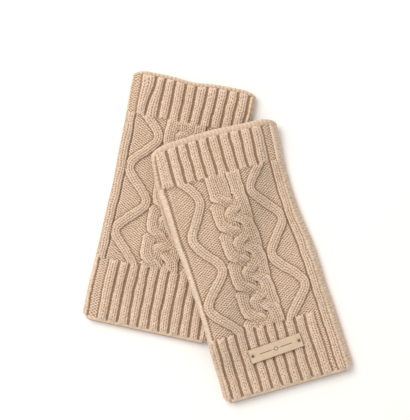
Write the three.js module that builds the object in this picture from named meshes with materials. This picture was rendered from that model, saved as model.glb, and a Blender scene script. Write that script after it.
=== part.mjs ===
// A pair of cable-knit fingerless gloves laid flat: the left glove on the surface, the right glove
// across it. Each glove is a flattened knitted tube, open at the knuckles, at the wrist and at a
// thumb slit in one side. Every region of the knitting is its own closed solid.
import * as THREE from 'three';

// Driving dimensions: millimetres and degrees, +Y towards the knuckle ends, +Z up.
const LAYER = 2.6; // thickness of one knitted layer
const HOLLOW = 4.6; // free height inside a flattened glove
const GAP = 0.3; // clearance between neighbouring pieces
const KNUCKLE_EDGE = 3; // bound-off edge that rolls over the knuckle rib
const KNUCKLE_RIB = 27; // ribbing below that edge
const WRIST_RIB = 45.5; // ribbing at the wrist
const SIDE = 4.2; // width of the folded side that joins the back to the palm
const SIDE_BEVEL = 2.4; // how far the folded side's outer face is lower than the layers
const THUMB_SLIT_START = 34; // from the knuckle end to the thumb slit
const THUMB_SLIT = 40; // length of the thumb slit
const FALL = 30; // distance over which the upper glove sinks to the surface
const FALL_START = 2; // the upper glove stays level for this far past the lower one

const LABEL = { length: 40.8, width: 10.4, thickness: 1.2, corner: 0.6 };
const LABEL_PLACE = { across: -1.5, fromWristEnd: 27.5, turn: 2.5 };
const TACK = { spread: 36.2, headRadius: 1.1, shankRadius: 0.5, holeRadius: 0.8, headHeight: 0.7 };
const TACK_DEPTH = 0.9; // how far a tack's shank reaches down from its head
const TACK_SIDES = 16;

// Each glove: place of its middle, turn about +Z, size, and which side has the thumb slit.
const LEFT = {
  name: 'left', centre: [-35, 22.5], turn: -11.5, length: 186.5, thumbSide: 1,
  knuckleWidth: 91.7, wristWidth: 94.7, knuckleSlope: 0.01, wristSlope: -0.01, columns: 2, step: 60,
};
const RIGHT = {
  name: 'right', centre: [25.2, -16.2], turn: 16.5, length: 192.6, thumbSide: -1,
  knuckleWidth: 91.4, wristWidth: 99.0, knuckleSlope: -0.03, wristSlope: -0.012, columns: 10, step: 9,
};

const GLOVE_HEIGHT = 2 * LAYER + HOLLOW;
const { lerp, degToRad, smoothstep } = THREE.MathUtils;

const MATERIALS = {
  ribbing: new THREE.MeshStandardMaterial({ color: '#d9bd9c', roughness: 0.95, metalness: 0 }),
  cable: new THREE.MeshStandardMaterial({ color: '#dcc1a1', roughness: 0.95, metalness: 0 }),
  palm: new THREE.MeshStandardMaterial({ color: '#d3b795', roughness: 0.95, metalness: 0 }),
  edge: new THREE.MeshStandardMaterial({ color: '#e2cbae', roughness: 0.95, metalness: 0 }),
  leather: new THREE.MeshStandardMaterial({ color: '#dcc5a3', roughness: 0.6, metalness: 0 }),
  tack: new THREE.MeshStandardMaterial({ color: '#4d3826', roughness: 0.7, metalness: 0 }),
};

// Half of a glove's width at a height y above its middle.
function halfWidth(glove, y) {
  return lerp(glove.wristWidth, glove.knuckleWidth, y / glove.length + 0.5) / 2;
}

// A point of a glove's own flat outline, with its ends slanted as the glove lies.
function slanted(glove, x, y) {
  return y + x * lerp(glove.wristSlope, glove.knuckleSlope, y / glove.length + 0.5);
}

function turned([x, y], degrees) {
  const angle = degToRad(degrees);
  return [x * Math.cos(angle) - y * Math.sin(angle), x * Math.sin(angle) + y * Math.cos(angle)];
}

// Height of the right glove's underside: level over the left glove, sinking to the surface beside it.
function restHeight(glove, x, y) {
  if (glove !== RIGHT) return 0;
  const [worldX, worldY] = turned([x, y], RIGHT.turn);
  const offset = [worldX + RIGHT.centre[0] - LEFT.centre[0], worldY + RIGHT.centre[1] - LEFT.centre[1]];
  const [leftX, leftY] = turned(offset, -LEFT.turn);
  const beside = Math.max(0, leftX - halfWidth(LEFT, leftY));
  const below = Math.max(0, -leftY - LEFT.length / 2);
  const away = Math.hypot(beside, below);
  return (GLOVE_HEIGHT + GAP) * (1 - smoothstep(away, FALL_START, FALL_START + FALL));
}

// One region of a glove between two heights y, two sides given as functions of y, and two levels z.
// shapeZ may lower or raise a level by how far across the region the point is.
function region(glove, name, material, { sides, ys, zs, columns = 1, shapeZ = (across, z) => z }) {
  const rows = Math.max(1, Math.round((ys[1] - ys[0]) / glove.step));
  const geometry = new THREE.BoxGeometry(1, 1, 1, columns, rows, 1);
  const position = geometry.attributes.position;
  for (let i = 0; i < position.count; i += 1) {
    const across = position.getX(i) + 0.5;
    const y = lerp(ys[0], ys[1], position.getY(i) + 0.5);
    const x = lerp(sides[0](y), sides[1](y), across);
    const z = shapeZ(across, lerp(zs[0], zs[1], position.getZ(i) + 0.5));
    const along = slanted(glove, x, y);
    position.setXYZ(i, x, along, z + restHeight(glove, x, along));
  }
  geometry.computeVertexNormals();
  const mesh = new THREE.Mesh(geometry, material);
  mesh.name = `${glove.name}_${name}`;
  return mesh;
}

// The heights y at which the knitting changes, counted from the glove's middle.
function stations(glove) {
  const top = glove.length / 2;
  return {
    top,
    edge: top - KNUCKLE_EDGE,
    knuckle: top - KNUCKLE_EDGE - KNUCKLE_RIB,
    slitTop: top - THUMB_SLIT_START,
    slitBottom: top - THUMB_SLIT_START - THUMB_SLIT,
    wrist: -top + WRIST_RIB,
    bottom: -top,
  };
}

// A flat layer between the two folded sides: the back of the hand above, the palm below.
function layers(glove, name, ys, material, palmMaterial) {
  const inner = (y) => halfWidth(glove, y) - SIDE - GAP / 2;
  const sides = [(y) => -inner(y), inner];
  const shared = { sides, ys: [ys[0] + GAP / 2, ys[1] - GAP / 2], columns: glove.columns };
  return [
    region(glove, `${name}_back`, material, { ...shared, zs: [LAYER + HOLLOW, GLOVE_HEIGHT] }),
    region(glove, `${name}_palm`, palmMaterial, { ...shared, zs: [0, LAYER] }),
  ];
}

// The strip at one side of a glove, side = 1 at +X and -1 at -X, with its outer face bevelled.
function sideStrip(glove, name, side, ys, zs, bevel) {
  const outer = (y) => side * halfWidth(glove, y);
  const inner = (y) => side * (halfWidth(glove, y) - SIDE + GAP / 2);
  const sides = side > 0 ? [inner, outer] : [outer, inner];
  const middle = (zs[0] + zs[1]) / 2;
  const shapeZ = (across, z) => {
    const outerness = side > 0 ? across : 1 - across;
    return z - Math.sign(z - middle) * bevel * outerness;
  };
  const trimmed = [ys[0] + GAP / 2, ys[1] - GAP / 2];
  return region(glove, name, MATERIALS.cable, { sides, ys: trimmed, zs, shapeZ });
}

function sides(glove) {
  const at = stations(glove);
  const whole = [0, GLOVE_HEIGHT];
  const thumb = glove.thumbSide;
  const slit = [at.slitBottom, at.slitTop];
  return [
    sideStrip(glove, 'outer_side_hand', -thumb, [at.wrist, at.top], whole, SIDE_BEVEL),
    sideStrip(glove, 'outer_side_wrist', -thumb, [at.bottom, at.wrist], whole, SIDE_BEVEL),
    sideStrip(glove, 'thumb_side_knuckle', thumb, [at.slitTop, at.top], whole, SIDE_BEVEL),
    sideStrip(glove, 'thumb_side_hand', thumb, [at.wrist, at.slitBottom], whole, SIDE_BEVEL),
    sideStrip(glove, 'thumb_side_wrist', thumb, [at.bottom, at.wrist], whole, SIDE_BEVEL),
    sideStrip(glove, 'thumb_slit_edge_back', thumb, slit, [LAYER + HOLLOW, GLOVE_HEIGHT], 0),
    sideStrip(glove, 'thumb_slit_edge_palm', thumb, slit, [0, LAYER], 0),
  ];
}

function glovePieces(glove) {
  const at = stations(glove);
  const { ribbing, cable, palm, edge } = MATERIALS;
  return [
    ...layers(glove, 'knuckle_edge', [at.edge, at.top], edge, edge),
    ...layers(glove, 'knuckle_rib', [at.knuckle, at.edge], ribbing, ribbing),
    ...layers(glove, 'hand', [at.wrist, at.knuckle], cable, palm),
    ...layers(glove, 'wrist_rib', [at.bottom, at.wrist], ribbing, ribbing),
    ...sides(glove),
  ];
}

// The leather label: a thin strip with round corners and a hole near each end.
function label() {
  const { length, width, thickness, corner } = LABEL;
  const [x, y] = [length / 2, width / 2];
  const outline = new THREE.Shape();
  outline.moveTo(-x + corner, -y);
  outline.lineTo(x - corner, -y);
  outline.quadraticCurveTo(x, -y, x, -y + corner);
  outline.lineTo(x, y - corner);
  outline.quadraticCurveTo(x, y, x - corner, y);
  outline.lineTo(-x + corner, y);
  outline.quadraticCurveTo(-x, y, -x, y - corner);
  outline.lineTo(-x, -y + corner);
  outline.quadraticCurveTo(-x, -y, -x + corner, -y);
  for (const end of [-1, 1]) {
    const hole = new THREE.Path();
    hole.absarc(end * TACK.spread / 2, 0, TACK.holeRadius, 0, 2 * Math.PI, true);
    outline.holes.push(hole);
  }
  const geometry = new THREE.ExtrudeGeometry(outline, { depth: thickness, bevelEnabled: false, curveSegments: 8 });
  const mesh = new THREE.Mesh(geometry, MATERIALS.leather);
  mesh.name = 'label';
  return mesh;
}

// A tack that holds the label: a domed head above it and a shank in its hole.
function tack(name, end) {
  const { headRadius, shankRadius, headHeight, spread } = TACK;
  const profile = [
    [0, -TACK_DEPTH], [shankRadius, -TACK_DEPTH], [shankRadius, 0], [headRadius, 0],
    [headRadius, headHeight / 2], [headRadius * 0.6, headHeight], [0, headHeight],
  ].map(([radius, height]) => new THREE.Vector2(radius, height));
  const geometry = new THREE.LatheGeometry(profile, TACK_SIDES);
  geometry.rotateX(Math.PI / 2);
  const mesh = new THREE.Mesh(geometry, MATERIALS.tack);
  mesh.position.set(end * spread / 2, 0, LABEL.thickness + GAP);
  mesh.name = name;
  return mesh;
}

function labelGroup(glove) {
  const group = new THREE.Group();
  group.add(label(), tack('label_tack_thumb_side', -1), tack('label_tack_outer_side', 1));
  group.position.set(LABEL_PLACE.across, -glove.length / 2 + LABEL_PLACE.fromWristEnd, GLOVE_HEIGHT + GAP);
  group.rotation.z = degToRad(LABEL_PLACE.turn);
  return group;
}

function glove(design) {
  const group = new THREE.Group();
  group.add(...glovePieces(design));
  group.position.set(design.centre[0], design.centre[1], 0);
  group.rotation.z = degToRad(design.turn);
  return group;
}

// The pair, moved so that the origin is under the middle of its bounding box.
function pair() {
  const rightGlove = glove(RIGHT);
  rightGlove.add(labelGroup(RIGHT));
  const group = new THREE.Group();
  group.add(glove(LEFT), rightGlove);
  const middle = new THREE.Box3().setFromObject(group, true).getCenter(new THREE.Vector3());
  group.position.set(-middle.x, -middle.y, 0);
  return group;
}

export default pair();
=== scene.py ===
"""A pair of cable-knit fingerless gloves lying flat, the right one across the left one.

Each glove is a knitted tube. Its back and its palm are grids that run from one side fold to the other,
raised and lowered by the ribs, the travelling cables, the plait and the single stitches, and laid on
what is below. Hems, slit lips, the leather label and its tacks are pieces of their own.
"""

import math

import bpy
import numpy as np
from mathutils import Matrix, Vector


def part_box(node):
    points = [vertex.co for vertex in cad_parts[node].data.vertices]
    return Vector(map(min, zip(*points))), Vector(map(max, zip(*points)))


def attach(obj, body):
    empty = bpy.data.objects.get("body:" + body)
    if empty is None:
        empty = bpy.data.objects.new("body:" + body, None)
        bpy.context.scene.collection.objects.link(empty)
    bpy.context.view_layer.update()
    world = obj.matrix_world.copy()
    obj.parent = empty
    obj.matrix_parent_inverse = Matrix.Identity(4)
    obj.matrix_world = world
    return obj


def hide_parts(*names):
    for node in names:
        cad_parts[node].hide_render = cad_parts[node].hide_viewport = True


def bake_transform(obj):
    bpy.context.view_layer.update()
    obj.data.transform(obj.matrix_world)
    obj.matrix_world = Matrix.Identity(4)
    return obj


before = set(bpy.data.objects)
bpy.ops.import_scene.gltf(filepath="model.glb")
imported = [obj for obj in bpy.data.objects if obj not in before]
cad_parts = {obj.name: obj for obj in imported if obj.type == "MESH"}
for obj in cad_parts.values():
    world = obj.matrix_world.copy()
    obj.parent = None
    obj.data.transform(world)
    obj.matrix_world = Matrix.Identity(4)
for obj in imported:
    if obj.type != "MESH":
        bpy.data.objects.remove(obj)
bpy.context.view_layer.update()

MM = 0.001

# The knitting, in millimetres. u runs across the back from its middle, v from the knuckle end down.
HALF_WIDTH = 45.5  # of the pattern as it is drawn
BODY_TOP = 30.0  # where the cables begin
BODY_LENGTH = 117.0  # of the cable pattern as it is drawn
WRIST_RIB = 45.5  # its length
CUFF_JOIN = 1.6  # the hand's pattern meets a cuff's over this, each way
ROW = 2.07  # height of one row of stitches
STITCH_DEPTH = 1.15
EDGE_RELIEF = 0.9  # along the side folds, where back and palm meet

# The flattened tube's section: heights above the glove's own underside.
BACK_GROUND = 7.7
PALM_DEPTH_RIB = 1.5  # the palm's ribs rest on the surface
PALM_DEPTH_PLAIN = 0.4
GROUND_JOIN = 4.0  # the palm's ground changes height over this, each way
SKIN = 1.5  # from the knitting's ground to the glove's inside
LEAST_HEIGHT = 0.02  # over what the glove lies on

# The upper glove lies so high on the lower one, and beside it falls to the surface over so much.
LIE_HEIGHT = 10.1
FALL_START = 2.0
FALL = 30.0

END_REACH = 12.0  # an end swells from this far before it
BOW_START = 31.0  # where the thumb side's bow begins

# The thumb slit, down from the knuckle end.
SLIT_START = 34.0
SLIT_LENGTH = 40.0

BACK_STEP = (0.36, 0.32)  # grid spacing across and along
PALM_STEP = (0.66, 0.58)
INNER_EVERY = 3  # the inside has one point for this many of the outside

# Facts about the left and about the right glove, in millimetres.
GLOVES = {
    "mirror": (-1, 1),  # which way the pattern runs
    "stretch": (1.0, 1.043),  # of the pattern across
    "shift": (-1.5, 1.96),  # the pattern's place across
    "thumb": (1, -1),  # the thumb's side
    "plait_place": ((-1.8, 3.7), (1.96, 0.0)),  # across and down
    "plait_start": (35.0, 44.5),  # where its strands begin to cross
    "knuckle_ribs": ({"pitch": 7.8, "count": 10}, {"pitch": 8.2, "count": 9}),
    "valley_lean": (1.5, 0.0),  # of the knuckle cuff's first valley
    "ridge": (40.4, 41.6),  # middle of the knit ridge by the outer fold
    "wrist_ridge": (44.4, 41.6),
    "smooth_fold": (False, True),  # a plain band along the outer fold
    # How far each side fold takes to turn over, and the height of its middle.
    "fold": (
        {"outer": {"reach": 3.4, "height": 4.9}, "thumb": {"reach": 4.6, "height": 3.4}},
        {"outer": {"reach": 5.8, "height": 1.8}, "thumb": {"reach": 3.4, "height": 4.9}},
    ),
    # How the outer side is drawn in and the thumb side bows out, at a share of the length.
    "waist": ({"depth": 2.0, "at": 0.45, "reach": 0.33}, {"depth": 3.4, "at": 0.29, "reach": 0.2}),
    "bow": ({"depth": 0.0, "at": 0.21, "reach": 0.26}, {"depth": 6.4, "at": 0.21, "reach": 0.26}),
    "knuckle_corner": ({"along": 12.0, "deep": 4.8}, {"along": 13.0, "deep": 6.8}),
    # How the knuckle edge is lowered, at a place across.
    "dip": ({"depth": 1.5, "at": -2.0, "reach": 11.0}, {"depth": -1.9, "at": -5.0, "reach": 28.0}),
    # Its middle down from the knuckle end, and half of its width.
    "hem": ({"place": 1.0, "half_width": 1.3}, {"place": 1.5, "half_width": 2.4}),
    # How far the soft edges swell past the outline.
    "overhang": (
        {"outer": 1.2, "knuckle": 2.2, "wrist": 2.2}, {"outer": 0.8, "knuckle": 0.6, "wrist": 4.0},
    ),
}


def smooth(x, low, high):
    """0 below low, 1 above high, and smooth between."""
    t = np.clip((x - low) / (high - low), 0, 1)
    return t * t * (3 - 2 * t)


def bump(x, centre, width):
    """1 at the centre, and falling off to either side."""
    return np.exp(-((x - centre) / width) ** 2)


def swell(x, fact):
    """A bump with the depth, place and reach of a fact."""
    return fact["depth"] * bump(x, fact["at"], fact["reach"])


def blended(a, b, share):
    """a where the share is 0, b where it is 1."""
    return a * (1 - share) + b * share


# ---- how a glove lies

def outline(name):
    """A glove's corners in millimetres, left and right: at its knuckle end, and at its wrist end."""
    points = np.concatenate([
        np.array([v.co for v in node.data.vertices])[:, :2]
        for key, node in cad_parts.items() if key.startswith(name + "_")
    ]) / MM
    ways = [(-1, 1), (1, 1), (-1, -1), (1, -1)]
    corners = [points[np.argmax(points @ np.array(way))] for way in ways]
    return corners[:2], corners[2:]


def unit(vector):
    return vector / np.linalg.norm(vector)


class Glove:
    """One glove's outline, its own coordinates and its height over what it lies on."""

    def __init__(self, name, below=None):
        self.name = name
        self.below = below
        self.facts = {fact: pair[name == "right"] for fact, pair in GLOVES.items()}
        self.thumb = self.facts["thumb"]
        self.knuckle, self.wrist = outline(name)
        top, bottom = sum(self.knuckle) / 2, sum(self.wrist) / 2
        self.length = np.linalg.norm(top - bottom)
        self.middle = (top + bottom) / 2
        self.up = unit(top - bottom)
        self.across = np.array([self.up[1], -self.up[0]])
        self.body_length = self.length - BODY_TOP - WRIST_RIB

    def pattern(self, u):
        """Place across in the pattern, whose outer side is on the right."""
        return self.facts["mirror"] * self.facts["stretch"] * u + self.facts["shift"]

    def bowed(self, x, v):
        """How far the thumb side's fabric bows out, towards +x or -x."""
        by_thumb = smooth(self.thumb * x, BOW_START, HALF_WIDTH)
        return self.thumb * by_thumb * swell(v / self.length, self.facts["bow"])

    def plan(self, x, v):
        """World x and y of a point at pattern width x and v down the glove."""
        outer = smooth(-self.thumb * x, 0, HALF_WIDTH)
        t = np.clip(v / self.length, 0, 1)
        overhang = self.facts["overhang"]
        inward = swell(t, self.facts["waist"]) - overhang["outer"]
        s = 0.5 + (x + self.bowed(x, v) + self.thumb * outer * inward) / (2 * HALF_WIDTH)
        at_knuckle = overhang["knuckle"] * smooth(-v, -END_REACH, 0)
        at_wrist = overhang["wrist"] * smooth(v, self.length - END_REACH, self.length)
        t = (v - at_knuckle + at_wrist) / self.length
        s, t = s[..., None], t[..., None]
        return blended(blended(*self.knuckle, s), blended(*self.wrist, s), t)

    def rest(self, plan):
        """Height of what the glove lies on: the lower glove, and the floor beside it."""
        if self.below is None:
            return np.zeros(plan.shape[:-1])
        lower = self.below
        offset = plan - lower.middle
        along = offset @ lower.up
        side = offset @ lower.across
        upper, under = (np.linalg.norm(right - left) / 2 for left, right in (lower.knuckle, lower.wrist))
        edge = under + (upper - under) * (along / lower.length + 0.5)
        beside = np.maximum(0, side - edge)
        beyond = np.maximum(0, -along - lower.length / 2)
        away = np.hypot(beside, beyond)
        return LIE_HEIGHT * (1 - smooth(away, FALL_START, FALL_START + FALL))


# ---- the knitting

LEG_LEAST = 0.2  # a leg's height at its ends, as a share
LEG_ROUNDNESS = 0.8  # below 1 is fuller
LEG_SLANT = 0.85  # rows from a leg's lower to its upper end
ROW_LEAST = 0.3  # a row's height where it joins the next one, as a share
ROW_ROUNDNESS = 0.7


def knit_stitches(q, along):
    """Relief 0 to 1 of a knit column, with two slanting legs in each row. q is -1 to 1 across it."""
    a = np.abs(q)
    leg = LEG_LEAST + (1 - LEG_LEAST) * np.sin(np.pi * a) ** LEG_ROUNDNESS
    rows = np.sin(np.pi * ((along / ROW + LEG_SLANT * a) % 1.0))
    return leg * (ROW_LEAST + (1 - ROW_LEAST) * rows ** ROW_ROUNDNESS)


PURL_ROW = 1.9
PURL_LEAN = math.tan(math.radians(31))  # of the lines that the bumps form
PURL_DEPTH = 0.9


def purl_stitches(u, v, one_way=0.1):
    """Relief -0.5 to 0.5 of the purl side: bumps set like bricks, in lines that lean more one way."""
    rising, falling = (np.cos(2 * np.pi * (v + way * u * PURL_LEAN) / PURL_ROW) for way in (1, -1))
    return (0.25 + one_way / 2) * rising + (0.25 - one_way / 2) * falling


def purl_bars(v):
    """Relief 0 to 1 of straight bars across, one in each row."""
    return np.sin(np.pi * ((v / ROW) % 1.0)) ** ROW_ROUNDNESS


def column(d, half, count):
    """Place -1 to 1 across its own column, of a point at d in a strand of count columns."""
    place = (d / half + 1) / 2 * count
    return 2 * (place % 1.0) - 1


BESIDE = -1.0  # height beside a strand, below every ground
STRAND_COLUMNS = 2
STRAND_FLATNESS = 2.4  # higher is flatter


def strand(d, along, half, height, crown=0.5, widening=1.0):
    """Height of a raised strand of knit columns. Where it is wider it has more columns."""
    r = np.clip(np.abs(d) / (half * widening), 0, 1)
    profile = np.clip(1 - r ** STRAND_FLATNESS, 0, 1) ** crown
    stitches = knit_stitches(column(d, half, STRAND_COLUMNS), along) * profile ** 0.5
    return np.where(r < 1, height * profile + STITCH_DEPTH * (stitches - 0.5), BESIDE)


ARC_POINTS = 2000
SLOPE_STEP = 0.25


def length_along(centre, v):
    """Arc length along a strand whose centreline is u = centre(v)."""
    grid = np.linspace(v.min() - 1, v.max() + 1, ARC_POINTS)
    steps = np.hypot(np.diff(centre(grid)), np.diff(grid))
    return np.interp(v, grid, np.concatenate([[0], np.cumsum(steps)]))


def across_strand(u, v, centre):
    """Distance from a strand's centreline, squarely across it."""
    slope = (centre(v + SLOPE_STEP) - centre(v - SLOPE_STEP)) / (2 * SLOPE_STEP)
    return (u - centre(v)) / np.sqrt(1 + slope ** 2)


# Ribbing: the first rib's middle, the pitch, how many more ribs there are, how much wider the first one
# is on its outer side, and where the flat strip beside it begins.
KNUCKLE_RIBS = {"first": 32.3, "wider": 1.35, "strip": 38.6}
WRIST_RIBS = {"first": 30.1, "pitch": 7.32, "count": 12, "wider": 1.2, "strip": 34.6}
PALM_KNUCKLE_RIBS = {"first": 41.0, "pitch": 8.2, "count": 10, "wider": 1.0}
PALM_WRIST_RIBS = {"first": 40.6, "pitch": 7.32, "count": 11, "wider": 1.0}
LAST_WIDER = 3.2  # the last rib is wider towards the thumb side's fold
RIB_SHARE = 0.43  # half of a rib's width, as a share of the pitch
RIB_HEIGHT = 2.05
RIB_CROWN = 0.75
VALLEY = {"height": -0.25, "bars": 0.25}
VALLEY_REACH = 5.0  # the leaning valley's neighbours lean with it this far
STRIP_HEIGHT = 0.2
STRIP_JOIN = 0.8
CAST_ON = {"plain": 1.2, "reach": 4.2, "height": 0.8}  # the ribs run out into it


def ribs(u, v, plan, height=RIB_HEIGHT):
    """Ribbing: two knit columns and a narrow purl valley, over and over."""
    first, pitch, count = (plan[fact] for fact in ("first", "pitch", "count"))
    k = np.clip(np.round((first - u) / pitch), 0, count)
    d = u - (first - k * pitch)
    d = np.where(u > first, d / plan["wider"], d)
    widening = np.where(u < first - count * pitch, LAST_WIDER, 1.0)
    valley = VALLEY["height"] + VALLEY["bars"] * purl_bars(v)
    return np.maximum(valley, strand(d, v, RIB_SHARE * pitch, height, RIB_CROWN, widening))


def purl_strip(u, v):
    """The flat strip beside the first rib: columns of purl bumps."""
    return STRIP_HEIGHT + PURL_DEPTH * purl_stitches(u, v, one_way=0)


def back_ribs(u, v, plan, beside):
    """Ribbing, and what is beside it past the first rib."""
    past = smooth(u, plan["strip"] - STRIP_JOIN, plan["strip"] + STRIP_JOIN)
    return blended(ribs(u, v, plan), beside, past)


CORD_PERIOD = 51.6  # from one bend to the next one the same way
CORD_PEAK = 45.8  # where the first bend is
CORD_SWING = 8.7
CORD_HALF = 3.7  # half width
CORD_HEIGHT = 1.9
CORD_SHARPNESS = 0.76  # 0 is a sine, 1 is straight lines and sharp bends
CORD_CALM = {"at": 55.0, "reach": 26.0}
# Each travelling cable: its middle, the way its first bend points, and how much less it swings there.
CORDS = [(-29.5, 1, 0.33), (25.6, -1, 0.0)]


def cord_centre(middle, way, calmer, v):
    phase = 2 * np.pi * (v - CORD_PEAK) / CORD_PERIOD
    swing = np.arcsin(CORD_SHARPNESS * np.cos(phase)) / math.asin(CORD_SHARPNESS)
    calm = 1 - calmer * bump(v, CORD_CALM["at"], CORD_CALM["reach"])
    return middle + way * CORD_SWING * calm * swing


PLAIT_MIDDLE = -1.65
PLAIT_SWING = 10.0
PLAIT_STRANDS = 4
PLAIT_PITCH = 22.5  # from one strand's cut back to the next one's
PLAIT_CUT = 54.9  # where the first strand cuts back across the middle
PLAIT_END = 145.0
PLAIT_FADE = {"in": 5.0, "before_end": 4.0, "past_end": 2.0}  # where the crossings gain and lose height
PLAIT_HALF = 4.75  # half width of a strand
PLAIT_COLUMNS = 3
PLAIT_BASE = {"height": 0.9, "flatness": 8}
PLAIT_LIFT = 0.95  # how far a strand rises and sinks as it crosses
PLAIT_LEAST = 0.3  # share of that where no strands cross
PLAIT_CROWN = {"height": 1.35, "flatness": 2.6}
PLAIT_STITCH = {"depth": 1.35, "until": 1.35}  # it fades out at a strand's sides
PLAIT_BEAD = {"depth": 0.3, "at": 0.91, "reach": 0.06}  # along a strand's sides
PLAIT_BEND = 0.026  # share of a turn over which a strand's bends are rounded
PLAIT_SAMPLES = 720

# One turn of a strand from its cut back to the left: share of the turn, place (-1 left, 1 right) and
# level (-1 under the others, 1 over them).
PLAIT_COURSE = [
    (0.000, 0.42, 0.2), (0.027, 0.10, 1.0), (0.063, -0.22, 0.8), (0.112, -0.22, 0.2),
    (0.163, -0.28, -0.9), (0.204, -0.70, -1.1), (0.235, -1.02, -0.3), (0.296, -1.06, 0.2),
    (0.357, -1.03, 0.4), (0.403, -0.80, 1.0), (0.440, -0.42, 0.8), (0.480, -0.16, -1.0),
    (0.530, 0.00, -1.2), (0.577, 0.24, -0.3), (0.612, 0.55, 1.0), (0.653, 0.86, 0.9),
    (0.724, 0.97, 0.3), (0.847, 0.97, 0.0), (0.929, 0.78, -1.1),
]


def plait_course():
    """Place and level of a strand as functions of the share of its turn, with rounded bends."""
    fine = np.linspace(0, 1, PLAIT_SAMPLES, endpoint=False)
    shares, *rows = np.array(PLAIT_COURSE).T
    reach = round(PLAIT_BEND * fine.size)
    window = np.hanning(2 * reach + 1)
    functions = []
    for row in rows:
        course = np.interp(np.arange(-reach, fine.size + reach) / fine.size, shares, row, period=1)
        rounded = np.convolve(course, window / window.sum(), "valid")
        functions.append(lambda turn, rounded=rounded: np.interp(turn, fine, rounded, period=1))
    return functions


def plait(u, v, start, down):
    """Strands plaited from start on, with crossings so far down from their usual place."""
    height = np.full(u.shape, BESIDE)
    ending = smooth(v, PLAIT_END - PLAIT_FADE["before_end"], PLAIT_END + PLAIT_FADE["past_end"])
    crossing = smooth(v, start, start + PLAIT_FADE["in"]) * (1 - ending)
    lift = PLAIT_LIFT * (PLAIT_LEAST + (1 - PLAIT_LEAST) * crossing)
    place, level = plait_course()
    for k in range(PLAIT_STRANDS):
        def turn(at, k=k):
            inside = np.clip(at, start, PLAIT_END)
            return ((inside - PLAIT_CUT - down) / PLAIT_PITCH + k) / PLAIT_STRANDS

        def centre(at, turn=turn):
            return PLAIT_MIDDLE + PLAIT_SWING * place(turn(at))

        d = across_strand(u, v, centre)
        r = np.clip(np.abs(d) / PLAIT_HALF, 0, 1)
        base = PLAIT_BASE["height"] + lift * level(turn(v))
        crown = PLAIT_CROWN["height"] * np.sqrt(1 - r ** PLAIT_CROWN["flatness"])
        stitches = knit_stitches(column(d, PLAIT_HALF, PLAIT_COLUMNS), length_along(centre, v))
        stitches = PLAIT_STITCH["depth"] * (stitches - 0.5) * np.clip(PLAIT_STITCH["until"] - r, 0, 1)
        one = base * (1 - r ** PLAIT_BASE["flatness"]) + crown + stitches + swell(r, PLAIT_BEAD)
        height = np.maximum(height, np.where(r < 1, one, BESIDE))
    return height


SIDE_RIDGE = {"half": 3.3, "height": 1.6}
SIDE_GROOVE = {"beside": 3.7, "width": 0.7, "depth": 0.9}


def ridged(height, u, v, ridge):
    """The same with the knit ridge beside the outer fold, and the dark groove within it."""
    groove = SIDE_GROOVE["depth"] * bump(u, ridge - SIDE_GROOVE["beside"], SIDE_GROOVE["width"])
    return np.maximum(height - groove, strand(u - ridge, v, SIDE_RIDGE["half"], SIDE_RIDGE["height"]))


def cable_panel(u, v, plaited, ridge):
    """The back of the hand: purl ground, two travelling cables, the plait and the fold's ridge."""
    height = PURL_DEPTH * purl_stitches(u, v)
    for cord in CORDS:
        def centre(at, cord=cord):
            return cord_centre(*cord, at)
        d = across_strand(u, v, centre)
        height = np.maximum(height, strand(d, length_along(centre, v), CORD_HALF, CORD_HEIGHT))
    return np.maximum(ridged(height, u, v, ridge), plaited)


# The relief ends at the side folds in a plain band with a raised border, in the knitting itself or,
# on the thumb side, in a smooth roll with a groove beside it below the knuckle cuff.
SMOOTH_FOLD = {"until": 7.8, "join": 1.2, "crest": 0.4, "crest_width": 1.5}
KNIT_FOLD = {"from": 0.2, "until": 2.6, "bars": 0.3}
PIPING = {"from": 3.7, "until": 4.5, "bars": 0.1}
GROOVE = {"at": 5.1, "reach": 0.6, "depth": 0.5, "above": 6.0, "below": 2.0}
TUCK = 0.9  # the ribs are up this far below the knuckle hem


def barred(v, fold):
    """Relief of a fold with faint bars across it."""
    return EDGE_RELIEF + fold["bars"] * purl_bars(v)


def outer_fold(height, glove, v, from_fold):
    """The relief by the fold at the outer side."""
    if not glove.facts["smooth_fold"]:
        near = 1 - smooth(from_fold, KNIT_FOLD["from"], KNIT_FOLD["until"])
        return blended(height, barred(v, KNIT_FOLD), near)
    near = 1 - smooth(from_fold, SMOOTH_FOLD["until"], SMOOTH_FOLD["until"] + SMOOTH_FOLD["join"])
    crest = SMOOTH_FOLD["crest"] * bump(from_fold, SMOOTH_FOLD["until"], SMOOTH_FOLD["crest_width"])
    return blended(height, barred(v, PIPING) + crest, near)


def thumb_fold(height, v, from_fold):
    """The relief by the fold at the thumb side: a smooth roll, like piping."""
    near = 1 - smooth(from_fold, PIPING["from"], PIPING["until"])
    below_cuff = smooth(v, BODY_TOP - GROOVE["above"], BODY_TOP + GROOVE["below"])
    return blended(height, barred(v, PIPING), near) - swell(from_fold, GROOVE) * below_cuff


def with_folds(height, glove, u, v, from_fold):
    """The relief near the side folds, where the back and the palm are the same."""
    thumb = thumb_fold(height, v, from_fold)
    return np.where(u * glove.thumb > 0, thumb, outer_fold(height, glove, v, from_fold))


def cast_on(height, glove, v):
    """The wrist ribs, which run out into the cast-on edge."""
    near = 1 - smooth(glove.length - v, CAST_ON["plain"], CAST_ON["reach"])
    return blended(height, CAST_ON["height"], near)


def cuff_joins(glove, v, reach):
    """How far the knuckle cuff has turned into the hand, and the hand into the wrist cuff."""
    to_wrist = smooth(v - glove.length + WRIST_RIB, -reach, reach)
    return smooth(v, BODY_TOP - reach, BODY_TOP + reach), to_wrist


def joined(glove, v, knuckle, body, wrist):
    """The hand's pattern between the two cuffs."""
    to_body, to_wrist = cuff_joins(glove, v, CUFF_JOIN)
    return blended(blended(knuckle, body, to_body), cast_on(wrist, glove, v), to_wrist)


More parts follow.
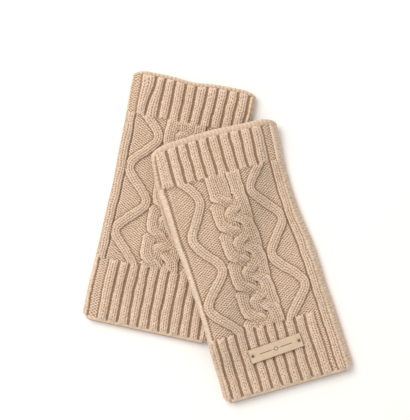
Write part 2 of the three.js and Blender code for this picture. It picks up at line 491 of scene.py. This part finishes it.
def knuckle_cuff(glove, u, v, strip):
    """The back's knuckle cuff, which is tucked in below the hem."""
    plan = {**KNUCKLE_RIBS, **glove.facts["knuckle_ribs"]}
    valley = plan["first"] - plan["pitch"] / 2
    lean = glove.facts["valley_lean"] * np.cos(np.pi * v / BODY_TOP) * bump(u, valley, VALLEY_REACH)
    hem = glove.facts["hem"]
    risen = smooth(v, hem["place"], hem["place"] + hem["half_width"] + TUCK)
    return back_ribs(u + lean, v, plan, strip) * risen


def back_relief(glove, u, v, from_fold):
    """Height of the back's outside over its ground, at u across and v down."""
    facts = glove.facts
    pattern_u = glove.pattern(u)
    body_v = BODY_TOP + (v - BODY_TOP) * BODY_LENGTH / glove.body_length
    plait_across, plait_down = facts["plait_place"]
    plaited = plait(facts["stretch"] * u + plait_across, body_v, facts["plait_start"], plait_down)
    body = cable_panel(pattern_u, body_v, plaited, facts["ridge"])
    strip = purl_strip(pattern_u, v)
    knuckle = knuckle_cuff(glove, pattern_u, v, strip)
    wrist = back_ribs(pattern_u, v, WRIST_RIBS, ridged(strip, pattern_u, v, facts["wrist_ridge"]))
    return with_folds(joined(glove, v, knuckle, body, wrist), glove, u, v, from_fold)


PALM_COLUMN = 1.475  # half width of a column of stitches


def palm_relief(glove, u, v, from_fold):
    """The same for the palm: plain knit between the two ribbed cuffs."""
    plain = PALM_DEPTH_PLAIN * knit_stitches((u / PALM_COLUMN) % 2.0 - 1, v)
    height = PALM_DEPTH_RIB - STITCH_DEPTH / 2
    knuckle = ribs(u, v, PALM_KNUCKLE_RIBS, height)
    wrist = ribs(u, v, PALM_WRIST_RIBS, height)
    return with_folds(joined(glove, v, knuckle, plain, wrist), glove, u, v, from_fold)


# ---- the flattened tube

def blurred(height, across, along):
    """A box blur of a grid, run twice, with a reach of so many points."""
    for axis, reach in ((0, along), (1, across)):
        for _ in range(2):
            padded = np.pad(height, [(reach + 1, reach) if a == axis else (0, 0) for a in (0, 1)], "edge")
            total = np.cumsum(padded, axis=axis)
            width = 2 * reach + 1
            low = np.take(total, range(0, height.shape[axis]), axis=axis)
            high = np.take(total, range(width, width + height.shape[axis]), axis=axis)
            height = (high - low) / width
    return height


def uneven(shape, across, along, seed):
    """Random numbers about 0 with a spread of 1, alike within so many points."""
    field = blurred(np.random.default_rng(seed).normal(0, 1, shape), across, along)
    return field / field.std()


# The outline's corners are quarter ellipses, so long along the end and so deep down the side.
WRIST_CORNER = {"along": 7.0, "deep": 6.5}
CORNER_REACH = 14.0  # the rows follow the corner this far down
CORNER_END = 0.97  # share of the quarter that is used, so that its end isn't upright
DIP_REACH = 25.0  # and the knuckle edge's dip this far


def rounding(x, from_end, corner):
    """How far an end's rounded corners draw a point in."""
    into = np.clip((np.abs(x) - HALF_WIDTH) / corner["along"] + 1, 0, CORNER_END)
    near = np.clip(1 - from_end / CORNER_REACH, 0, 1) ** 2
    return corner["deep"] * (1 - np.sqrt(1 - into ** 2)) * near


def softened(glove, x, v):
    """v with the rounded corners and the knuckle edge's dip."""
    dipped = swell(x, glove.facts["dip"]) * np.clip(1 - v / DIP_REACH, 0, 1)
    at_knuckle = rounding(x, v, glove.facts["knuckle_corner"])
    return v + dipped + at_knuckle - rounding(x, glove.length - v, WRIST_CORNER)


def wander(a, b, size):
    """A slow, small unevenness of handled cloth, in waves of about 50 to 120 mm."""
    wide = np.sin(a * 0.071 + 1.3) * np.sin(b * 0.053 + 0.4)
    narrow = np.sin(a * 0.13 - b * 0.117 + 2.1)
    return size * (wide + 0.5 * narrow)


SIDE_WANDER = {"size": 0.35, "across": 0.2}  # how far the sides wander, and how much slower across
TOP_WANDER = 0.25

# At the thumb slit the back is lifted and drawn in, and the palm is pushed out.
SLIT_LIFT = {"back": 1.9, "palm": -0.2}
SLIT_SHIFT = {"back": -1.5, "palm": 1.3}
SLIT_REACH = 9.0  # it fades out so far from the fold
SLIT_ROUNDNESS = 0.8
END_ROUND = 1.8  # the wrist's rim is rounded off over this
CURL = {"reach": 5.5, "depth": 2.2}  # the back's wrist end curls down
FOLD_POINTS = 120


def to_wrist_end(glove, v, reach):
    """0 on the glove, and up to 1 over so much before its wrist end."""
    return np.clip(1 - (glove.length - v) / reach, 0, 1)


class Half:
    """The back or the palm of a glove, from one side fold to the other."""

    def __init__(self, glove, part):
        self.glove = glove
        self.part = part
        self.side = 1 if part == "back" else -1
        self.table = self.section()
        self.low, self.high = self.table[0, 0], self.table[0, -1]

    def section(self):
        """The tube's section as rows: way along it, x, share of the rise, and the outward normal."""
        angle = np.linspace(0, np.pi / 2, FOLD_POINTS)
        ends = []
        for way in (-1, 1):
            fold, middle = self.fold("reach", way), self.fold("height", way)
            rise = BACK_GROUND - middle if self.side > 0 else middle - PALM_DEPTH_PLAIN
            flat = HALF_WIDTH - EDGE_RELIEF - fold
            x = flat + fold * np.sin(angle)
            z = rise * np.cos(angle)
            u = flat + np.concatenate([[0], np.cumsum(np.hypot(np.diff(x), np.diff(z)))])
            normal = np.stack([np.sin(angle) * rise, np.cos(angle) * fold])
            normal /= np.linalg.norm(normal, axis=0)
            ends.append(np.stack([way * u, way * x, np.cos(angle), way * normal[0], normal[1]]))
        return np.concatenate([ends[0][:, ::-1], ends[1]], axis=1)

    def fold(self, fact, u):
        """A fact about the side fold that is on the same side as u."""
        folds = self.glove.facts["fold"]
        return np.where(u * self.glove.thumb > 0, folds["thumb"][fact], folds["outer"][fact])

    def from_fold(self, u):
        return np.where(u < 0, u - self.low, self.high - u)

    def relief(self, u, v, stray_u, stray_v):
        """The outside's height over the ground, with each stitch straying a little."""
        knitted = back_relief if self.side > 0 else palm_relief
        place = u + self.glove.bowed(u, v) + stray_u
        height = knitted(self.glove, place, v + stray_v, self.from_fold(u))
        return height - END_ROUND * to_wrist_end(self.glove, v, END_ROUND) ** 2

    def ground(self, v):
        """Height of the knitting's ground over the glove's own underside."""
        if self.side > 0:
            return BACK_GROUND - CURL["depth"] * to_wrist_end(self.glove, v, CURL["reach"]) ** 2
        to_body, to_wrist = cuff_joins(self.glove, v, GROUND_JOIN)
        cuff = 1 - to_body + to_wrist
        return PALM_DEPTH_PLAIN + (PALM_DEPTH_RIB - PALM_DEPTH_PLAIN) * cuff

    def points(self, u, v, relief):
        """World points in millimetres, at u across, v down and so much relief out."""
        glove = self.glove
        x, share, normal_x, normal_z = (np.interp(u, self.table[0], row) for row in self.table[1:])
        slit = np.sin(np.pi * np.clip((v - SLIT_START) / SLIT_LENGTH, 0, 1)) ** SLIT_ROUNDNESS
        slit = slit * (1 - smooth(self.from_fold(u), 0, SLIT_REACH)) * (u * glove.thumb > 0)
        across = x + normal_x * relief + glove.thumb * SLIT_SHIFT[self.part] * slit
        across = across + wander(v, u * SIDE_WANDER["across"], SIDE_WANDER["size"])
        plan = glove.plan(across, softened(glove, x, v))
        fold_height = self.fold("height", u)
        up = (self.ground(v) - fold_height) * share + self.side * normal_z * relief
        up = up + SLIT_LIFT[self.part] * slit
        z = np.maximum(fold_height + up, LEAST_HEIGHT) + glove.rest(plan)
        if self.side > 0:
            z = z + wander(plan[..., 0], plan[..., 1], TOP_WANDER) * share
        return np.concatenate([plan, z[..., None]], axis=-1)


# ---- meshes

# Painted shade: how dark the colour is made within the stitches, between ribs and cables, at the wrist's
# rim and inside, and how much lighter on crests.
SHADE_FINE = {"reach": 0.75, "scale": 0.34, "share": 1.12}
SHADE_COARSE = {"reach": 2.6, "scale": 1.5, "share": 0.5}
SHADE_RIM = {"reach": 3.0, "share": 0.35}
SHADE_INSIDE = 0.35
LEVEL_SHADE = 0.25  # where there is neither hollow nor crest
# How far single stitches stray and whole ribs and cables sway, and how much fuller some stitches are.
STRAY = {"reach": 0.9, "across": 0.07, "along": 0.16}
SWAY = {"reach": 4.0, "across": 0.22}
LUMP = {"reach": 0.55, "height": 0.05}
FLUFF = 0.06  # height of the finest roughness
CALM = 2.0  # lumps and fluff fade out so near to a side fold


def new_object(name, data):
    made = bpy.data.objects.new(name, data)
    bpy.context.scene.collection.objects.link(made)
    return made


def add_layer(mesh, name, values):
    """Give each point a number, which the material reads."""
    layer = mesh.attributes.new(name, "FLOAT", "POINT")
    layer.data.foreach_set("value", values.astype(np.float32))


def new_piece(name, points, faces, shade):
    """A smooth mesh piece from points in millimetres, with each point's painted shade, such as how deep
    in a hollow it is.
    """
    mesh = bpy.data.meshes.new(name)
    mesh.from_pydata((points.reshape(-1, 3) * MM).tolist(), [], faces)
    mesh.shade_smooth()
    shade = np.broadcast_to(shade, points.shape[:-1]).ravel()
    # A layer of painted shade, which the materials read.
    add_layer(mesh, "cavity", np.clip(LEVEL_SHADE + shade, 0, 1))
    return new_object(name, mesh)


def quads(index):
    """Four-cornered faces between the rows and columns of a grid of point numbers."""
    corners = [index[:-1, :-1], index[1:, :-1], index[1:, 1:], index[:-1, 1:]]
    return np.stack(corners, axis=-1).reshape(-1, 4)


def strip_faces(fine, coarse):
    """Faces that join a border of the outside to that of the inside."""
    return [
        [*fine[j * INNER_EVERY: (j + 1) * INNER_EVERY + 1], coarse[j + 1], coarse[j]]
        for j in range(len(coarse) - 1)
    ]


def half_grids(half):
    """Grids of a half's outside and inside, and the painted shade of each point outside: how deep in a
    hollow it is.
    """
    glove = half.glove
    step_u, step_v = BACK_STEP if half.side > 0 else PALM_STEP
    across = INNER_EVERY * round((half.high - half.low) / step_u / INNER_EVERY)
    rows = INNER_EVERY * round(glove.length / step_v / INNER_EVERY)
    down = np.linspace(0, glove.length, rows + 1)
    u, v = np.meshgrid(np.linspace(half.low, half.high, across + 1), down)

    def points_in(reach):
        return [max(1, round(reach / step)) for step in (step_u, step_v)]

    seed = 10 * len(glove.name) + half.side
    in_from_fold = smooth(half.from_fold(u), 0, CALM)
    stray_u = STRAY["across"] * uneven(u.shape, *points_in(STRAY["reach"]), seed + 2)
    stray_u += SWAY["across"] * uneven(u.shape, *points_in(SWAY["reach"]), seed + 8)
    stray_v = STRAY["along"] * uneven(u.shape, *points_in(STRAY["reach"]), seed + 4)
    relief = half.relief(u, v, stray_u, stray_v)
    relief += LUMP["height"] * uneven(u.shape, *points_in(LUMP["reach"]), seed + 6) * in_from_fold
    # Painted shade: darker in hollows and lighter on crests, from how far the relief lies below its blur.
    hollow = np.zeros_like(relief)
    for shade in (SHADE_FINE, SHADE_COARSE):
        hollow += shade["share"] * (blurred(relief, *points_in(shade["reach"])) - relief) / shade["scale"]
    # Painted shade at the wrist's rim, where the edge curls down.
    hollow += SHADE_RIM["share"] * to_wrist_end(glove, v, SHADE_RIM["reach"])
    relief += FLUFF * uneven(u.shape, 1, 1, seed) * in_from_fold
    outer = half.points(u, v, relief)
    inner = half.points(u, v, np.full_like(relief, -SKIN))
    return {"outer": outer, "inner": inner, "hollow": hollow, "down": down}


def skin_piece(name, half, grids, row_low, row_high):
    """A closed piece of a half between two rows of its grid: outside, inside and rim."""
    rows = slice(row_low, row_high + 1)
    outer = grids["outer"][rows]
    inner = grids["inner"][rows][::INNER_EVERY, ::INNER_EVERY]
    fine, coarse = (np.arange(side[..., 0].size).reshape(side.shape[:2]) for side in (outer, inner))
    coarse += fine.size
    borders = [
        (fine[0, ::-1], coarse[0, ::-1]), (fine[-1], coarse[-1]),
        (fine[:, 0], coarse[:, 0]), (fine[::-1, -1], coarse[::-1, -1]),
    ]
    faces = [*quads(fine).tolist(), *quads(coarse)[:, ::-1].tolist()]
    for border in borders:
        faces += [face[::-1] for face in strip_faces(*(side.tolist() for side in border))]
    if half.side < 0:
        faces = [face[::-1] for face in faces]
    # The glove's inside gets an even painted shade.
    shade = np.concatenate([grids["hollow"][rows].ravel(), np.full(coarse.size, SHADE_INSIDE)])
    points = np.concatenate([outer.reshape(-1, 3), inner.reshape(-1, 3)])
    piece = new_piece(name, points, faces, shade)
    keep_rim_sharp(piece.data, np.concatenate([side for border in borders for side in border]))
    return piece


def keep_rim_sharp(mesh, rim):
    """No smooth shading over the edges between points of the rim."""
    on_rim = np.zeros(len(mesh.vertices), bool)
    on_rim[rim] = True
    edges = np.zeros(len(mesh.edges) * 2, np.int32)
    mesh.edges.foreach_get("vertices", edges)
    layer = mesh.attributes.get("sharp_edge") or mesh.attributes.new("sharp_edge", "BOOLEAN", "EDGE")
    layer.data.foreach_set("value", on_rim[edges.reshape(-1, 2)].all(axis=1))


def tube_faces(count, sides, closed, first=0):
    """Faces of a tube of count rings, closed into a loop or capped at both ends."""
    index = first + np.arange(count * sides).reshape(count, sides)
    ends = [] if closed else [index[0].tolist(), index[-1, ::-1].tolist()]
    index = np.concatenate([index, index[:, :1]], axis=1)
    if closed:
        index = np.concatenate([index, index[:1]])
    return quads(index).tolist() + ends


# ---- hems and slit lips

HEM = {"rise": 0.1, "half_height": 1.4, "sides": 16, "step": 0.5}
HEM_AT_FOLD = {"share": 0.5, "reach": 8.0}  # lower over a side fold
HEM_STITCH = {"pitch": 2.95, "depth": 0.42}
# painted shade under the roll
HEM_SHADE = {"share": 0.5, "level": 0.2}
LIP = {"inset": 1.2, "radius": 1.35, "rise": 0.15, "sides": 12, "rings": 80}
LIP_END = {"share": 0.25, "roundness": 0.4}  # thinner at its ends
LIP_STITCH = 0.06
# painted shade under the lip
LIP_SHADE = 0.4


def knuckle_hem(name, halves):
    """The rolled, bound-off edge round the knuckle opening: one loop over both halves."""
    rings = []
    hem = halves[0].glove.facts["hem"]
    turn = np.linspace(0, 2 * np.pi, HEM["sides"], endpoint=False)
    for half in halves:
        count = round((half.high - half.low) / HEM["step"])
        u = np.linspace(half.low, half.high, count + 1)[:-1]
        if half.side < 0:
            u = (half.low + half.high) - u
        stitches = 1 + HEM_STITCH["depth"] * np.cos(2 * np.pi * u[:, None] / HEM_STITCH["pitch"] + turn)
        from_fold = smooth(half.from_fold(u), 0, HEM_AT_FOLD["reach"])[:, None]
        share = HEM_AT_FOLD["share"] + (1 - HEM_AT_FOLD["share"]) * from_fold
        out = HEM["rise"] + HEM["half_height"] * np.sin(turn) * stitches * share
        down = hem["place"] + hem["half_width"] * np.cos(turn) * np.ones_like(u)[:, None]
        rings.append(half.points(u[:, None] + 0 * turn, down, out))
    points = np.concatenate(rings)
    # Painted shade on the underside of the hem's roll.
    under = HEM_SHADE["share"] * np.clip(HEM_SHADE["level"] - np.sin(turn), 0, 1)
    faces = tube_faces(len(points), HEM["sides"], closed=True)
    return new_piece(name, points, faces, under)


def slit_lip(name, half):
    """The rolled edge of the thumb slit on one half."""
    glove = half.glove
    turn = np.linspace(0, 2 * np.pi, LIP["sides"], endpoint=False)
    t = np.linspace(0, 1, LIP["rings"])[:, None]
    swell = np.sin(np.pi * t) ** LIP_END["roundness"]
    radius = LIP["radius"] * (LIP_END["share"] + (1 - LIP_END["share"]) * swell)
    fold = half.high if glove.thumb > 0 else half.low
    u = fold - glove.thumb * (LIP["inset"] - radius * np.cos(turn))
    v = SLIT_START + SLIT_LENGTH * t + 0 * turn
    ridges = 1 + LIP_STITCH * np.sin(2 * np.pi * v / ROW)
    points = half.points(u, v, LIP["rise"] + radius * np.sin(turn) * ridges)
    faces = tube_faces(LIP["rings"], LIP["sides"], closed=False)
    if glove.thumb * half.side > 0:
        faces = [face[::-1] for face in faces]
    # Painted shade on the underside of the lip.
    return new_piece(name, points, faces, LIP_SHADE * np.clip(-np.sin(turn), 0, 1))


# ---- label and tacks

LABEL_STEP = 0.28
LABEL_ROUND = 0.7  # radius of its corners
LABEL_EDGE = {"reach": 0.45, "depth": 0.3}
LABEL_BOW = 0.45  # its ends bend down by this
LABEL_TWIST = {"height": 0.12, "wave": 0.42, "phase": 0.8}
LABEL_WORN = {"reach": 0.6, "by_tack": 0.5}
TACK_PLACE = 18.1  # from the label's middle
TACK_PRESS = {"reach": 1.5, "depth": 0.3}
RULE = {"from": 3.4, "to": 12.6, "half_width": 0.2}
LOZENGE = {"half": 1.9, "line": 0.42, "slant": 1.25}
INK_DEPTH = 0.1


def label_frame():
    """The label's middle, two directions, length, width, and lowest and highest z, in mm."""
    points = np.array([v.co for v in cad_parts["label"].data.vertices]) / MM
    low, high = points.min(axis=0), points.max(axis=0)
    middle = (low + high)[:2] / 2
    way = np.linalg.svd(points[:, :2] - middle)[2][0]
    way = way * np.sign(way[0])
    side = np.array([-way[1], way[0]])
    length, width = (np.ptp(points[:, :2] @ direction) for direction in (way, side))
    return middle, way, side, length, width, low[2], high[2]


def ornament(x, y):
    """The label's stamp: a thin rule, broken by a small lozenge."""
    rule = (np.abs(y) < RULE["half_width"]) & (np.abs(x) > RULE["from"]) & (np.abs(x) < RULE["to"])
    ring = np.abs(np.abs(x) + np.abs(y) * LOZENGE["slant"] - LOZENGE["half"]) < LOZENGE["line"]
    return (rule | ring).astype(float)


def rounded_rectangle(x, y, from_end, from_side):
    """The same places with the rectangle's corners rounded off."""
    near_x = np.clip(1 - from_end / LABEL_ROUND, 0, 1)
    near_y = np.clip(1 - from_side / LABEL_ROUND, 0, 1)
    round_x = x - np.sign(x) * LABEL_ROUND * near_x * (1 - np.sqrt(1 - near_y ** 2 / 2))
    round_y = y - np.sign(y) * LABEL_ROUND * near_y * (1 - np.sqrt(1 - near_x ** 2 / 2))
    return round_x[..., None], round_y[..., None]


def label_piece():
    """The leather label: a bowed, slightly twisted strip, pressed down by its two tacks."""
    middle, way, side, length, width, low, high = label_frame()
    columns, rows = (np.linspace(-1, 1, round(extent / LABEL_STEP)) for extent in (length, width))
    x, y = np.meshgrid(columns, rows)
    x, y = x * length / 2, y * width / 2
    from_end, from_side = length / 2 - np.abs(x), width / 2 - np.abs(y)
    from_edge = np.minimum(from_end, from_side)
    pressed = bump(np.hypot(np.abs(x) - TACK_PLACE, y), 0, TACK_PRESS["reach"])
    ink = ornament(x, y)
    twist = LABEL_TWIST["height"] * np.sin(x * LABEL_TWIST["wave"] + LABEL_TWIST["phase"])
    bow = -LABEL_BOW * (2 * x / length) ** 2 + twist * (2 * y / width)
    edge = LABEL_EDGE["depth"] * np.clip(1 - from_edge / LABEL_EDGE["reach"], 0, 1) ** 2
    top = high + bow - edge - TACK_PRESS["depth"] * pressed - INK_DEPTH * ink
    round_x, round_y = rounded_rectangle(x, y, from_end, from_side)
    plan = middle + round_x * way + round_y * side
    points = np.stack([np.concatenate([plan, z[..., None]], axis=-1) for z in (top, low + bow)])
    index = np.arange(x.size).reshape(x.shape)
    faces = [*quads(index)[:, ::-1].tolist(), *(quads(index) + x.size).tolist()]
    rim = np.concatenate([index[0, :-1], index[:-1, -1], index[-1, :0:-1], index[:0:-1, 0]]).tolist()
    faces += [[b, a, a + x.size, b + x.size] for a, b in zip(rim, rim[1:] + rim[:1])]
    worn = np.clip(1 - from_edge / LABEL_WORN["reach"], 0, 1) ** 2 + LABEL_WORN["by_tack"] * pressed
    # The top is darker at its edges and by its tacks; the underside gets full painted shade.
    piece = new_piece("label_leather", points, faces, np.stack([worn, np.ones_like(worn)]))
    add_layer(piece.data, "ink", np.stack([ink, np.zeros_like(ink)]).ravel())
    return piece


THREAD = {"radius": 0.31, "half_length": 1.1, "arch": 0.55, "over": 0.25, "rings": 13, "sides": 8}
THREAD_SUNK = 0.4  # share of its radius that its ends lie above the tack's underside
THREAD_BLUNT = 1.04  # over 1, so that its ends keep some width


def tack_piece(name):
    """Two short arched threads, crossed and sewn through the label."""
    _, way, side, *_ = label_frame()
    low, high = (np.array(corner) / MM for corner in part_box(name))
    centre = (low + high) / 2
    points, faces = [], []
    t = np.linspace(-1, 1, THREAD["rings"])
    turn = np.linspace(0, 2 * np.pi, THREAD["sides"], endpoint=False)
    for k, direction in enumerate((unit(way + side), unit(way - side))):
        across = np.array([direction[1], -direction[0]])
        radius = THREAD["radius"] * np.sqrt(np.clip(THREAD_BLUNT - t ** 8, 0, 1))[:, None]
        arch = THREAD["arch"] * (1 - t ** 2)[:, None]
        rise = arch + radius * np.sin(turn) + THREAD["over"] * k * (1 - t ** 4)[:, None]
        along = (THREAD["half_length"] * t)[:, None, None] * direction
        plan = centre[:2] + along + (radius * np.cos(turn))[..., None] * across
        z = low[2] + THREAD["radius"] * THREAD_SUNK + rise
        faces += tube_faces(len(t), THREAD["sides"], closed=False, first=k * t.size * turn.size)
        points.append(np.concatenate([plan, z[..., None]], axis=-1))
    return new_piece(f"{name}_thread", np.stack(points), faces, 0)


# ---- materials

def new_material(name):
    material = bpy.data.materials.new(name)
    material.use_nodes = True
    tree = material.node_tree
    return material, tree, tree.nodes["Principled BSDF"]


def fill(node, values):
    """Set a node's inputs, each to a value or another node's output."""
    for name, value in values.items():
        socket = node.inputs[name]
        if isinstance(value, bpy.types.NodeSocket):
            node.id_data.links.new(value, socket)
        else:
            socket.default_value = value


def new_node(tree, kind, values):
    made = tree.nodes.new(f"ShaderNode{kind}")
    fill(made, values)
    return made


def object_place(tree):
    return tree.nodes.new("ShaderNodeTexCoord").outputs["Object"]


def noise(tree, place, scale, detail, roughness=0.6):
    values = {"Vector": place, "Scale": scale, "Detail": detail, "Roughness": roughness}
    return new_node(tree, "TexNoise", values).outputs["Fac"]


def attribute(tree, name):
    made = tree.nodes.new("ShaderNodeAttribute")
    made.attribute_name = name
    return made.outputs["Fac"]


def mixed(tree, factor, a, b, blend="MIX"):
    """Two colours mixed. Inputs 6 and 7 and output 2 are the node's colours."""
    made = tree.nodes.new("ShaderNodeMix")
    made.data_type = "RGBA"
    made.blend_type = blend
    fill(made, {0: factor, 6: a, 7: b})
    return made.outputs[2]


def ramp(tree, value, stops):
    """A colour ramp with stops of a position and a colour each."""
    made = new_node(tree, "ValToRGB", {0: value})
    elements = made.color_ramp.elements
    elements[0].position, elements[-1].position = stops[0][0], stops[-1][0]
    elements[0].color, elements[-1].color = (*stops[0][1], 1), (*stops[-1][1], 1)
    for position, colour in stops[1:-1]:
        elements.new(position).color = (*colour, 1)
    return made.outputs[0]


def bumped(tree, height, strength, distance):
    """Relief too fine for the mesh, as a normal. The distance is in metres."""
    values = {"Height": height, "Strength": strength, "Distance": distance}
    return new_node(tree, "Bump", values).outputs["Normal"]


WHITE = (1.0, 1.0, 1.0)
# The wool's light and dark fibres and its slow unevenness, as shares of its colour.
LIGHT_FIBRE = 1.18
DARK_FIBRE = (0.80, 0.77, 0.73)
CLOUD = (0.94, 0.935, 0.92)
# Painted light and shade: its colour from crest to hollow, as shares of that on a crest.
PAINTED_HOLLOW_SHADE = [
    (0.0, WHITE), (LEVEL_SHADE, (0.90, 0.88, 0.85)), (0.5, (0.74, 0.67, 0.59)), (1.0, (0.42, 0.34, 0.26)),
]


def wool(name, colour):
    """Soft brushed wool: mottled fibres, with painted shade that makes the hollows darker and warmer, and
    a matt fuzzy sheen.
    """
    material, tree, shader = new_material(name)
    place = object_place(tree)
    light = tuple(min(1, channel * LIGHT_FIBRE) for channel in colour)
    dark = tuple(channel * share for channel, share in zip(colour, DARK_FIBRE))
    melange = ramp(tree, noise(tree, place, scale=900.0, detail=3.0), [(0.3, dark), (0.7, light)])
    clouds = ramp(tree, noise(tree, place, scale=45.0, detail=2.0), [(0.3, CLOUD), (0.7, WHITE)])
    base = mixed(tree, 1.0, melange, clouds, "MULTIPLY")
    # Painted shade darkens the colour in the hollows, at the rim, inside and under the rolls.
    base = mixed(tree, 1.0, base, ramp(tree, attribute(tree, "cavity"), PAINTED_HOLLOW_SHADE), "MULTIPLY")
    fibre = noise(tree, place, scale=2600.0, detail=3.0, roughness=0.7)
    fill(shader, {
        "Base Color": base, "Normal": bumped(tree, fibre, strength=0.4, distance=0.0002),
        "Roughness": 0.95, "Specular IOR Level": 0.15,
        "Sheen Weight": 0.2, "Sheen Roughness": 0.6, "Sheen Tint": (1.0, 0.94, 0.87, 1),
    })
    return material


HIDE = [(0.3, (0.58, 0.44, 0.305)), (0.7, (0.64, 0.49, 0.345))]
# Darker leather at the edges and tacks, and painted shade on the underside.
BURNISH_AND_PAINTED_SHADE = [(LEVEL_SHADE, WHITE), (1.0, (0.55, 0.45, 0.36))]
STAMP = (0.13, 0.085, 0.055, 1)


def leather(name):
    """Pale smooth leather, finely grained, darker at its edges and tacks, with painted shade on its
    underside, stamped in brown.
    """
    material, tree, shader = new_material(name)
    place = object_place(tree)
    cells = new_node(tree, "TexVoronoi", {"Vector": place, "Scale": 2200.0})
    cells.feature = "DISTANCE_TO_EDGE"
    hide = ramp(tree, noise(tree, place, scale=260.0, detail=4.0), HIDE)
    base = mixed(tree, 1.0, hide, ramp(tree, attribute(tree, "cavity"), BURNISH_AND_PAINTED_SHADE), "MULTIPLY")
    fill(shader, {
        "Base Color": mixed(tree, attribute(tree, "ink"), base, STAMP),
        "Normal": bumped(tree, cells.outputs["Distance"], strength=0.25, distance=0.0001),
        "Roughness": 0.52, "Specular IOR Level": 0.4,
    })
    return material


TWIST = [(0.0, (0.06, 0.035, 0.02)), (1.0, (0.18, 0.11, 0.065))]


def thread(name):
    """Dark waxed thread, twisted."""
    material, tree, shader = new_material(name)
    twist = new_node(tree, "TexWave", {"Vector": object_place(tree), "Scale": 900.0})
    twist.bands_direction = "DIAGONAL"
    fill(shader, {
        "Base Color": ramp(tree, twist.outputs["Fac"], TWIST),
        "Normal": bumped(tree, twist.outputs["Fac"], strength=0.4, distance=0.0001),
        "Roughness": 0.6, "Specular IOR Level": 0.3,
    })
    return material


WOOL_COLOURS = {
    "ribbing": (0.735, 0.58, 0.463), "cable": (0.727, 0.578, 0.461),
    "palm": (0.727, 0.575, 0.458), "edge": (0.72, 0.57, 0.455),
}


# ---- pieces

STANDS_FOR = {
    "knuckle_rib": ["knuckle_rib_{part}", "thumb_side_knuckle"],
    "hand": ["hand_{part}", "outer_side_hand", "thumb_side_hand"],
    "wrist_rib": ["wrist_rib_{part}", "outer_side_wrist", "thumb_side_wrist"],
}


def dress(piece, material, slot, *nodes):
    """Give a piece its material, and hide the solids that it stands for. The slot is not used."""
    piece.data.materials.append(material)
    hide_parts(*nodes)


def ride(glove, piece, bends=False):
    """Pieces of the left glove ride its one body, and those of the right one ride its hand; pieces given
    bends only have their transform baked in and ride no body.
    """
    if glove.name == "left":
        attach(piece, "left_glove")
    elif not bends:
        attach(piece, "right_hand")
    else:
        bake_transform(piece)


def skin_slot(region, part):
    """A knitted region's material slot."""
    if "rib" in region:
        return "ribbing"
    return "cable" if part == "back" else "palm"


def make_skins(glove, half, materials):
    """One half's knitted regions: two cuffs and the hand between them."""
    grids = half_grids(half)
    marks = [0.0, BODY_TOP, glove.length - WRIST_RIB, glove.length]
    rows = [INNER_EVERY * round(np.searchsorted(grids["down"], mark) / INNER_EVERY) for mark in marks]
    rows[-1] = len(grids["down"]) - 1
    for region, low, high in zip(STANDS_FOR, rows[:-1], rows[1:]):
        piece = skin_piece(f"{glove.name}_{region}_{half.part}_knit", half, grids, low, high)
        slot = skin_slot(region, half.part)
        nodes = [f"{glove.name}_{node.format(part=half.part)}" for node in STANDS_FOR[region]]
        dress(piece, materials[slot], slot, *nodes)
        ride(glove, piece, bends=region != "knuckle_rib")


def make_glove(glove, materials):
    halves = [Half(glove, part) for part in ("back", "palm")]
    for half in halves:
        make_skins(glove, half, materials)
        lip = slit_lip(f"{glove.name}_slit_lip_{half.part}", half)
        dress(lip, materials["edge"], "edge", f"{glove.name}_thumb_slit_edge_{half.part}")
        ride(glove, lip)
    hem = knuckle_hem(f"{glove.name}_knuckle_hem", halves)
    dress(hem, materials["edge"], "edge", *(f"{glove.name}_knuckle_edge_{half.part}" for half in halves))
    ride(glove, hem)


def make_label():
    label = label_piece()
    dress(label, leather("pale_leather"), "leather", "label")
    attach(label, "right_wrist")
    dark_thread = thread("waxed_thread")
    for name in ("label_tack_thumb_side", "label_tack_outer_side"):
        tack = tack_piece(name)
        dress(tack, dark_thread, "tack", name)
        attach(tack, "right_wrist")


# ---- stage, light and camera

# In metres, except the lens and its sensor.
FLOOR_HALF = 3.0
FLOOR_COLOUR = (0.94, 0.92, 0.9, 1)
KEY_LIGHT = {"place": (-0.8, 0.72, 1.3), "aim": (0, 0, 0), "size": 1.1, "power": 21}
SKY_COLOUR = (1.0, 0.97, 0.93, 1)
SKY_STRENGTH = 0.7
VIEW_WIDTH = 0.3108  # what the camera sees across at the gloves' height
VIEW_HEIGHT = 0.012
VIEW_MIDDLE = (-0.0094, 0.0197)
LENS = 100
SENSOR = 36
CLIP_END = 50


def make_floor():
    s = FLOOR_HALF
    mesh = bpy.data.meshes.new("floor")
    mesh.from_pydata([(-s, -s, 0), (s, -s, 0), (s, s, 0), (-s, s, 0)], [], [(0, 1, 2, 3)])
    material, _, shader = new_material("floor")
    fill(shader, {"Base Color": FLOOR_COLOUR, "Roughness": 1.0, "Specular IOR Level": 0.0})
    mesh.materials.append(material)
    floor = new_object("floor", mesh)


def make_area_light(name, place, aim, size, power):
    light = bpy.data.lights.new(name, "AREA")
    light.shape = "SQUARE"
    light.size = size
    light.energy = power
    lamp = new_object(name, light)
    lamp.location = place
    lamp.rotation_euler = (Vector(aim) - Vector(place)).to_track_quat("-Z", "Y").to_euler()


def make_sky():
    world = bpy.data.worlds.new("world")
    world.use_nodes = True
    fill(world.node_tree.nodes["Background"], {"Color": SKY_COLOUR, "Strength": SKY_STRENGTH})
    bpy.context.scene.world = world


def make_camera():
    data = bpy.data.cameras.new("camera")
    data.lens = LENS
    data.sensor_width = SENSOR
    data.clip_end = CLIP_END
    camera = new_object("camera", data)
    camera.location = (*VIEW_MIDDLE, VIEW_HEIGHT + VIEW_WIDTH * LENS / SENSOR)
    bpy.context.scene.camera = camera


def main():
    wools = {slot: wool(f"wool_{slot}", colour) for slot, colour in WOOL_COLOURS.items()}
    left = Glove("left")
    right = Glove("right", below=left)
    for glove in (left, right):
        make_glove(glove, wools)
    make_label()
    make_floor()
    make_area_light("key", **KEY_LIGHT)
    make_sky()
    bpy.context.scene.view_settings.view_transform = "Standard"
    make_camera()


main()
